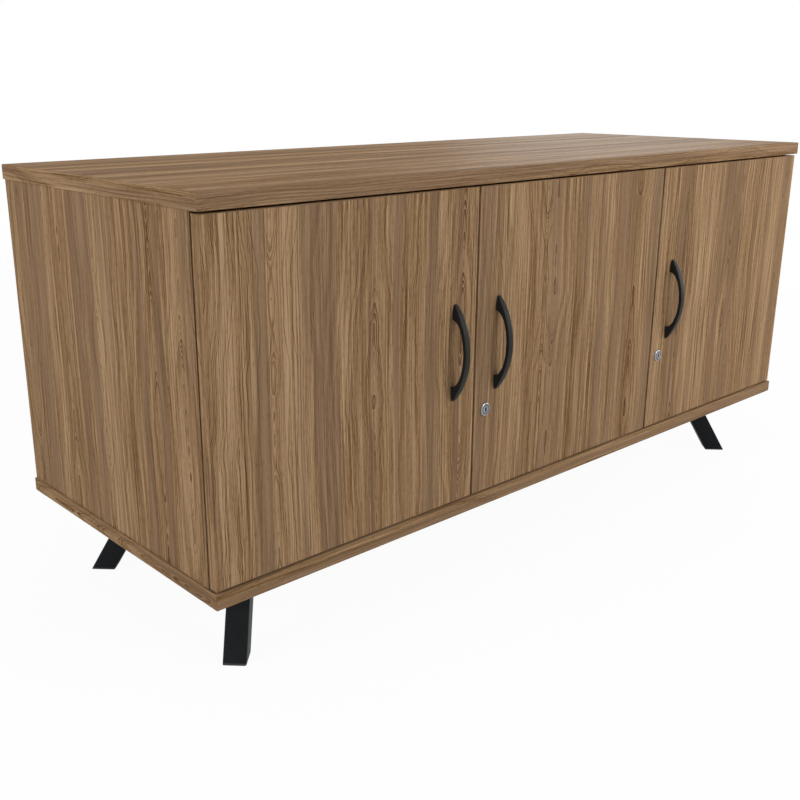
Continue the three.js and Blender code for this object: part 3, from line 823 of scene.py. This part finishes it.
class CREDENZA_OT_locks(bpy.types.Operator):
    """The cam locks: housing, nut, turning plug with its cam, and strike"""

    bl_idname = "credenza.locks"
    bl_label = "Locks"

    BORE = 6.1 * MM
    PLUG = 5.8 * MM
    BODY = 9.0 * MM
    FACE = 12.0 * MM
    FACE_HEIGHT = 2.5 * MM
    BEHIND = 8.0 * MM
    NUT_FLATS = 11.5 * MM
    NUT_HEIGHT = 3.4 * MM
    CAM_GAP = 0.5 * MM
    CAM_THICKNESS = 2.0 * MM
    CAM_HUB = 6.5 * MM
    CAM_TIP = 4.5 * MM
    CAM_REACH = 17.0 * MM
    SLOT = (1.8 * MM, 7.5 * MM)
    SLOT_DEPTH = 6.0 * MM
    LEAD = (4.4 * MM, 9.0 * MM)
    LEAD_DEPTH = 0.9 * MM
    GROOVE = (7.3 * MM, 8.9 * MM)
    GROOVE_DEPTH = 0.8 * MM

    def execute(self, context):
        tools = context.scene.credenza_hardware
        for name in LOCKED_DOORS:
            low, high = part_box(f"{name}_lock_housing")
            centre = Vector(((low.x + high.x) / 2, DOOR_FRONT, (low.z + high.z) / 2))
            place = Matrix.Translation(centre) @ Matrix.Rotation(math.pi / 2, 4, "X")
            bright = made_once(f"{name}_lock_chrome", turned_metal, tools.chrome_tone, 0.24, centre)
            board = DOOR_BACK - DOOR_FRONT
            self.housing(name, place, board, bright)
            self.nut(name, place, board)
            self.plug(name, place, board, bright)
            refined(f"{name}_lock_strike", "hinge_steel", steel_finish(), 0.3 * MM)
            strike_low, strike_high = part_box(f"{name}_lock_strike")
            face = strike_low.x + 1.5 * MM
            places = []
            for side in (-1, 1):
                places.append((Vector((face, strike_high.y - 9 * MM, centre.z + side * 9 * MM)), (1, 0, 0)))
            screws(f"{name}_lock_strike_screws", places, "carcass", "hinge_steel", steel_finish(), 3 * MM, 1.1 * MM)
        return {"FINISHED"}

    def housing(self, name, place, board, bright):
        """Turned housing with a rounded face, a groove in it painted dark for the shade inside it, and a thread behind
        the door.
        """
        face = self.FACE
        top = self.FACE_HEIGHT
        groove_in, groove_out = self.GROOVE
        profile = [
            (self.BODY, 0.0), (face - 0.5 * MM, 0.0), (face - 0.5 * MM, 0.35 * MM), (face, 0.5 * MM),
            (face, 1.1 * MM), (face - 0.25 * MM, 1.7 * MM), (face - 0.9 * MM, 2.2 * MM), (face - 1.8 * MM, top),
            (groove_out + 0.15 * MM, top), (groove_out, top - 0.15 * MM), (groove_out, top - self.GROOVE_DEPTH),
            (groove_in, top - self.GROOVE_DEPTH), (groove_in, top - 0.15 * MM), (groove_in - 0.15 * MM, top),
            (self.BORE + 0.3 * MM, top), (self.BORE, top - 0.3 * MM), (self.BORE, -board - self.BEHIND),
            (self.BODY - 0.5 * MM, -board - self.BEHIND),
        ]
        for thread in range(6):
            level = -board - self.BEHIND + (0.5 + 1.2 * thread) * MM
            profile.append((self.BODY, level))
            profile.append((self.BODY - 0.5 * MM, level + 0.6 * MM))
        profile.append((self.BODY, -board))
        profile.append((self.BODY, 0.0))
        form = lathe(profile, ROUND_STEPS)
        # Painted shade: the faces inside the groove take the dark second finish, for the shade that falls in the groove
        for part in form.faces:
            middle = part.calc_center_median()
            in_groove = groove_in - WELD < middle.xy.length < groove_out + WELD and 0 < middle.z < top - 0.2 * MM
            part.material_index = 1 if in_groove else 0
        bmesh.ops.transform(form, matrix=place, verts=form.verts)
        bmesh.ops.recalc_face_normals(form, faces=form.faces)
        soften(form)
        piece = put(f"{name}_lock_housing_body", form, f"{name}_door_set", "lock_chrome", bright, dark_steel_and_recess_shade_finish())
        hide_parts(f"{name}_lock_housing")

    def nut(self, name, place, board):
        """Hexagon nut that clamps the housing from inside."""
        form = bmesh.new()
        corner = self.NUT_FLATS / math.cos(math.pi / 6)
        level = Matrix.Translation((0, 0, -board - self.NUT_HEIGHT))
        rim = bmesh.ops.create_circle(form, segments=6, radius=corner, matrix=level)
        outer_edges = form.edges[:]
        bmesh.ops.subdivide_edges(form, edges=outer_edges, cuts=7)
        outer_edges = form.edges[:]
        bmesh.ops.create_circle(form, segments=ROUND_STEPS, radius=self.BODY + 0.05 * MM, matrix=level)
        inner_edges = [edge for edge in form.edges if edge not in outer_edges]
        bmesh.ops.bridge_loops(form, edges=outer_edges + inner_edges)
        raise_faces(form, form.faces[:], (0, 0, self.NUT_HEIGHT))
        bmesh.ops.recalc_face_normals(form, faces=form.faces)
        round_over(form, sharp_edges(form), 0.35 * MM, 2)
        bmesh.ops.transform(form, matrix=place, verts=form.verts)
        soften(form)
        put(f"{name}_lock_nut", form, f"{name}_door_set", "lock_chrome", steel_finish())

    def plug(self, name, place, board, bright):
        """Turning plug with its key slot, the cam behind the door and the cam's screw."""
        front = self.FACE_HEIGHT - 0.3 * MM
        cam_front = -board - self.BEHIND - self.CAM_GAP
        rim_radius = self.PLUG - 0.3 * MM

        form = bmesh.new()
        lead = oval(form, *self.LEAD, front)
        slot = oval(form, *self.SLOT, front - self.LEAD_DEPTH)
        lead_faces = bmesh.ops.bridge_loops(form, edges=lead + slot)["faces"]
        slot_floor = extend(form, slot, 1.0, self.SLOT_DEPTH)
        bmesh.ops.contextual_create(form, geom=slot_floor)
        slot_faces = [face for face in form.faces if face not in lead_faces]
        rim = oval(form, 2 * rim_radius, 2 * rim_radius, front)
        bmesh.ops.bridge_loops(form, edges=lead + rim)
        rim = extend(form, rim, self.PLUG / rim_radius, 0.3 * MM)
        rim = extend(form, rim, 1.0, front - 0.3 * MM - cam_front)
        bmesh.ops.contextual_create(form, geom=rim)
        # Painted shade: the key slot takes the near-black finish and its lead-in takes the dark one, for the shade
        # inside these recesses
        for face in form.faces:
            face.material_index = 1 if face in slot_faces else 3 if face in lead_faces else 0
        bmesh.ops.recalc_face_normals(form, faces=form.faces)
        soften(form)

        cam = bmesh.new()
        middle = cam_front - self.CAM_THICKNESS / 2
        ends = ((self.CAM_HUB, 0.0), (self.CAM_TIP, self.CAM_TIP - self.CAM_REACH))
        for radius, drop in ends:
            bmesh.ops.create_cone(cam, cap_ends=True, segments=SMALL_STEPS, radius1=radius, radius2=radius,
                                  depth=self.CAM_THICKNESS, matrix=Matrix.Translation((0, drop, middle)))
        hull = bmesh.ops.convex_hull(cam, input=cam.verts[:])
        inside = [part for part in hull["geom_interior"] if isinstance(part, bmesh.types.BMVert)]
        bmesh.ops.delete(cam, geom=inside, context="VERTS")
        bmesh.ops.dissolve_limit(cam, angle_limit=math.radians(1), verts=cam.verts, edges=cam.edges)
        bmesh.ops.recalc_face_normals(cam, faces=cam.faces)
        round_over(cam, sharp_edges(cam), 0.3 * MM, 2)
        soften(cam)

        bolt = bmesh.new()
        back = cam_front - self.CAM_THICKNESS
        bmesh.ops.create_cone(bolt, cap_ends=True, segments=6, radius1=3.4 * MM, radius2=3.4 * MM,
                              depth=2.2 * MM, matrix=Matrix.Translation((0, 0, back - 1.1 * MM)))
        round_over(bolt, sharp_edges(bolt), 0.35 * MM, 2)
        soften(bolt)

        whole = bmesh.new()
        plug_mesh = bpy.data.meshes.new("plug")
        form.to_mesh(plug_mesh)
        form.free()
        whole.from_mesh(plug_mesh)
        bpy.data.meshes.remove(plug_mesh)
        pour(whole, cam, 2)
        pour(whole, bolt, 2)
        bmesh.ops.transform(whole, matrix=place, verts=whole.verts)
        piece = put(f"{name}_lock_plug_body", whole, f"{name}_lock", "lock_chrome",
                    bright, keyway_shadow_finish(), steel_finish(), dark_steel_and_recess_shade_finish())
        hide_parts(f"{name}_lock_plug")


class CREDENZA_OT_hinges(bpy.types.Operator):
    """The concealed hinges with their screws and rivets"""

    bl_idname = "credenza.hinges"
    bl_label = "Hinges"

    # Rounding of each part's sharp edges, and of the flats of its round walls
    PARTS = {
        "cup": (0.0, 1.3 * MM),
        "outer_link": (0.3 * MM, 0.0),
        "inner_link": (0.0, 0.0),
        "arm": (0.0, 0.0),
        "plate": (0.35 * MM, 0.0),
    }
    RIM = 1.0 * MM
    WING_OFFSET = 5.5 * MM
    WING_REACH = 26.0 * MM
    PLATE_BASE = 2.0 * MM
    PLATE_SCREW_DEPTH = 9.0 * MM
    PLATE_SCREW_REACH = 16.0 * MM
    ARM_SCREWS = (10.0 * MM, 20.0 * MM)
    RIVET = ((0.0, 0.0), (1.9 * MM, 0.0), (1.8 * MM, 0.25 * MM), (1.2 * MM, 0.55 * MM), (0.0, 0.65 * MM))

    def execute(self, context):
        for name, away in DOORS.items():
            cup_screws = []
            wall_screws = []
            arm_screws = []
            rivets = []
            for level in HINGE_LEVELS:
                hinge = f"{name}_{level}_hinge"
                for part, rounding in self.PARTS.items():
                    refined(f"{hinge}_{part}", "hinge_steel", steel_finish(), *rounding)
                low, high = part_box(f"{hinge}_cup")
                middle = (low + high) / 2
                for side in (-1, 1):
                    place = Vector((middle.x + away * self.WING_OFFSET, DOOR_BACK + self.RIM,
                                    middle.z + side * self.WING_REACH))
                    cup_screws.append((place, (0, 1, 0)))
                self.wall_side(hinge, away, middle.z, wall_screws, arm_screws)
                self.rivets(name, hinge, rivets)
            screws(f"{name}_hinge_cup_screws", cup_screws, f"{name}_door_set", "hinge_steel", steel_finish())
            screws(f"{name}_hinge_plate_screws", wall_screws, "carcass", "hinge_steel", steel_finish())
            screws(f"{name}_hinge_arm_screws", arm_screws, "carcass", "hinge_steel", steel_finish(), 2.9 * MM, 1.2 * MM)
            heads = domes(self.RIVET, 16, rivets)
            put(f"{name}_hinge_rivets", heads, "carcass", "hinge_steel", steel_finish())
        return {"FINISHED"}

    def wall_side(self, hinge, away, height, wall_screws, arm_screws):
        low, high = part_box(f"{hinge}_plate")
        wall = low.x if away > 0 else high.x
        face = wall + away * self.PLATE_BASE
        for side in (-1, 1):
            place = Vector((face, low.y + self.PLATE_SCREW_DEPTH, height + side * self.PLATE_SCREW_REACH))
            wall_screws.append((place, (away, 0, 0)))
        arm_face = wall + away * 9.9 * MM
        for depth in self.ARM_SCREWS:
            arm_screws.append((Vector((arm_face, low.y + depth, height)), (away, 0, 0)))

    def rivets(self, name, hinge, places):
        """Places of the root pins' domed ends on the arm's cheeks."""
        low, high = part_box(f"{hinge}_arm")
        joints = {joint["name"]: joint["pos_m"] for joint in frame["joints"]}
        for link in ("outer", "inner"):
            x, y, _ = joints[f"{name}_{link}_links_turn"]
            for level, outward in ((low.z, -1), (high.z, 1)):
                places.append((Vector((x, y, level)), (0, 0, outward)))


class CREDENZA_OT_legs(bpy.types.Operator):
    """The splayed legs with their weld seams, plate screws and end plugs"""

    bl_idname = "credenza.legs"
    bl_label = "Legs"

    PLATE = 4.0 * MM
    SCREW_PLACES = (41.0 * MM, 31.0 * MM)
    TUBE = 38.0 * MM
    TUBE_CORNER = 3.0 * MM
    SPLAY = math.radians(30)
    BEAD = 3.0 * MM
    # How far the bead's lower edge stands off the tube, and how uneven its upper edge is
    LIP = 0.15 * MM
    WOBBLE = 0.5
    WOBBLE_RATE = 420.0

    def execute(self, context):
        feet = {mount["name"]: Vector(mount["pos_m"]) for mount in frame["record"]["mounts"]}
        leg_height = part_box("bottom_panel")[0].z
        lean = leg_height * math.tan(self.SPLAY) / math.sqrt(2)
        for row, row_sign in (("front", -1), ("rear", 1)):
            for side, side_sign in (("left", -1), ("right", 1)):
                leg = f"{row}_{side}_leg"
                refined(leg, "leg_paint", leg_finish(), 0.3 * MM)
                refined(f"{leg}_plug", "foot_plastic", foot_finish(), 0.4 * MM)
                foot = feet[f"{row}_{side}_foot"]
                head = foot - Vector((side_sign * lean, row_sign * lean, 0))
                turn = Matrix.Rotation(math.atan2(row_sign, side_sign), 4, "Z")
                place = Matrix.Translation((head.x, head.y, leg_height - self.PLATE)) @ turn
                along, across = self.SCREW_PLACES
                places = []
                for along_sign in (-1, 1):
                    for across_sign in (-1, 1):
                        spot = place @ Vector((along_sign * along, across_sign * across, 0))
                        places.append((spot, (0, 0, -1)))
                screws(f"{leg}_screws", places, "carcass", "leg_paint", dark_steel_and_recess_shade_finish(), 4.4 * MM, 1.8 * MM)
                self.bead(leg, place)
        return {"FINISHED"}

    def bead(self, leg, place):
        """Weld seam between the tube and its plate."""
        form = bmesh.new()
        stretch = 1 / math.cos(self.SPLAY)
        size = Matrix.Diagonal((self.TUBE * stretch, self.TUBE, self.BEAD, 1))
        lift = Matrix.Translation((0, 0, -self.BEAD / 2))
        bmesh.ops.create_cube(form, size=1.0, matrix=lift @ size)
        uprights = [edge for edge in form.edges if abs(edge.verts[0].co.z - edge.verts[1].co.z) > WELD]
        round_over(form, uprights, self.TUBE_CORNER, 4)
        rails = [edge for edge in form.edges if abs(edge.verts[0].co.z - edge.verts[1].co.z) < WELD]
        bmesh.ops.subdivide_edges(form, edges=rails, cuts=3)
        for vert in form.verts:
            outward = Vector((vert.co.x, vert.co.y, 0)).normalized()
            if vert.co.z > -self.BEAD / 2:
                move = outward * self.BEAD * (1 + self.WOBBLE * noise.noise(vert.co * self.WOBBLE_RATE))
            else:
                move = outward * self.LIP + Vector((self.BEAD * math.tan(self.SPLAY), 0, 0))
            bmesh.ops.translate(form, vec=move, verts=[vert])
        bmesh.ops.recalc_face_normals(form, faces=form.faces)
        bmesh.ops.transform(form, matrix=place, verts=form.verts)
        soften(form)
        put(f"{leg}_weld", form, "carcass", "leg_paint", leg_finish())


class CREDENZA_OT_stage(bpy.types.Operator):
    """Floor, surrounding light, lamp and camera"""

    bl_idname = "credenza.stage"
    bl_label = "Stage"

    FLOOR_SIZE = 60.0
    SEEN_WHITE = 0.95
    FADE = (1.5, 6.0)

    def execute(self, context):
        stage = context.scene.credenza_stage
        context.scene.view_settings.view_transform = "Standard"
        self.surroundings(context, stage)
        self.floor(stage)
        self.lamp(context, "front_lamp", (1.0, -4.3, 2.7), (0, -0.28, 0.45), (2.4, 2.0), stage.front_power)
        self.lamp(context, "left_lamp", (-4.2, 0.2, 1.9), (-0.8, 0, 0.45), (2.0, 2.0), stage.left_power)
        self.lamp(context, "rear_lamp", (3.6, 2.2, 1.5), (0.5, 0.1, 0.74), (1.6, 1.6), stage.rear_power)
        self.lamp(context, "right_lamp", (2.0, -1.3, 0.9), (0.55, -0.28, 0.45), (1.0, 1.0), stage.right_power)
        self.lamp(context, "upper_lamp", (-0.6, 0.0, 3.2), (-0.4, 0.0, 0.74), (2.4, 1.6), stage.upper_power)
        self.camera(context, stage)
        return {"FINISHED"}

    def seen(self, graph):
        """1 where the camera sees something, straight, in a reflection or through glass."""
        path = graph.node("ShaderNodeLightPath")
        straight = path["Is Camera Ray"]
        return straight.math("MAXIMUM", straight.math("MAXIMUM", straight, path["Is Glossy Ray"]),
                             path["Is Transmission Ray"])

    def surroundings(self, context, stage):
        world = bpy.data.worlds.new("white_studio")
        world.use_nodes = True
        context.scene.world = world
        graph = Graph(world.node_tree)
        seen = self.seen(graph)
        background = world.node_tree.nodes["Background"]
        background.inputs["Color"].default_value = (1, 1, 1, 1)
        graph.feed(background.inputs["Strength"], seen + (1 - seen) * stage.sky_light)

    def floor(self, stage):
        form = bmesh.new()
        bmesh.ops.create_grid(form, x_segments=1, y_segments=1, size=self.FLOOR_SIZE / 2)
        mesh = bpy.data.meshes.new("floor")
        form.to_mesh(mesh)
        form.free()
        floor = bpy.data.objects.new("floor", mesh)
        bpy.context.scene.collection.objects.link(floor)
        finish = Finish("floor_white")
        finish.shade({"Base Color": opaque(stage.floor_tone), "Roughness": 0.9, "Specular IOR Level": 0.0})
        glow = finish.node("ShaderNodeEmission", None, {"Color": (1, 1, 1, 1), "Strength": 1.0})["Emission"]
        plain = Wire(finish, finish.shader.outputs["BSDF"])
        place = finish.node("ShaderNodeTexCoord")["Object"]
        away = finish.node("ShaderNodeVectorMath", {"operation": "LENGTH"}, {0: place})["Value"]
        white = finish.between(away, *self.FADE, self.SEEN_WHITE, 1.0)
        mixed = finish.node("ShaderNodeMixShader", None, {0: self.seen(finish) * white, 1: plain, 2: glow})["Shader"]
        finish.feed(finish.tree.nodes["Material Output"].inputs["Surface"], mixed)
        mesh.materials.append(finish.material)

    def lamp(self, context, name, place, aim, size, power):
        light = bpy.data.lights.new(name, "AREA")
        light.shape = "RECTANGLE"
        light.size, light.size_y = size
        light.energy = power
        lamp = bpy.data.objects.new(name, light)
        lamp.location = place
        lamp.rotation_euler = (Vector(aim) - Vector(place)).to_track_quat("-Z", "Y").to_euler()
        context.scene.collection.objects.link(lamp)

    def camera(self, context, stage):
        view = bpy.data.cameras.new("camera")
        view.sensor_width = 36.0
        view.lens = stage.lens
        view.shift_x = 0.03524
        view.shift_y = -0.01068
        camera = bpy.data.objects.new("camera", view)
        yaw = stage.camera_yaw
        pitch = stage.camera_pitch
        camera.location = stage.camera_place
        camera.rotation_euler = (math.pi / 2 + pitch, 0.0, -yaw)
        context.scene.collection.objects.link(camera)
        context.scene.camera = camera


class CREDENZA_PT_dressing(bpy.types.Panel):
    """Sizes, colours and steps of the credenza's dressing"""

    bl_idname = "CREDENZA_PT_dressing"
    bl_label = "Office credenza"
    bl_space_type = "VIEW_3D"
    bl_region_type = "UI"
    bl_category = "Credenza"

    def draw(self, context):
        for group in (context.scene.credenza_laminate, context.scene.credenza_hardware, context.scene.credenza_stage):
            column = self.layout.column()
            for key in group.__annotations__:
                column.prop(group, key)
        for operator in STEPS:
            self.layout.operator(operator.bl_idname)


STEPS = (
    CREDENZA_OT_stage,
    CREDENZA_OT_boards,
    CREDENZA_OT_doors,
    CREDENZA_OT_handles,
    CREDENZA_OT_locks,
    CREDENZA_OT_hinges,
    CREDENZA_OT_legs,
)
SETTINGS = {
    "credenza_laminate": LaminateSettings,
    "credenza_hardware": HardwareSettings,
    "credenza_stage": StageSettings,
}


def register():
    for group in SETTINGS.values():
        bpy.utils.register_class(group)
    for name, group in SETTINGS.items():
        setattr(bpy.types.Scene, name, PointerProperty(type=group))
    for step in STEPS:
        bpy.utils.register_class(step)
    bpy.utils.register_class(CREDENZA_PT_dressing)


def unregister():
    bpy.utils.unregister_class(CREDENZA_PT_dressing)
    for step in reversed(STEPS):
        bpy.utils.unregister_class(step)
    for name in SETTINGS:
        delattr(bpy.types.Scene, name)
    for group in SETTINGS.values():
        bpy.utils.unregister_class(group)


def main():
    register()
    bpy.ops.credenza.stage()
    bpy.ops.credenza.boards()
    bpy.ops.credenza.doors()
    bpy.ops.credenza.handles()
    bpy.ops.credenza.locks()
    bpy.ops.credenza.hinges()
    bpy.ops.credenza.legs()


if __name__ == "__main__":
    main()
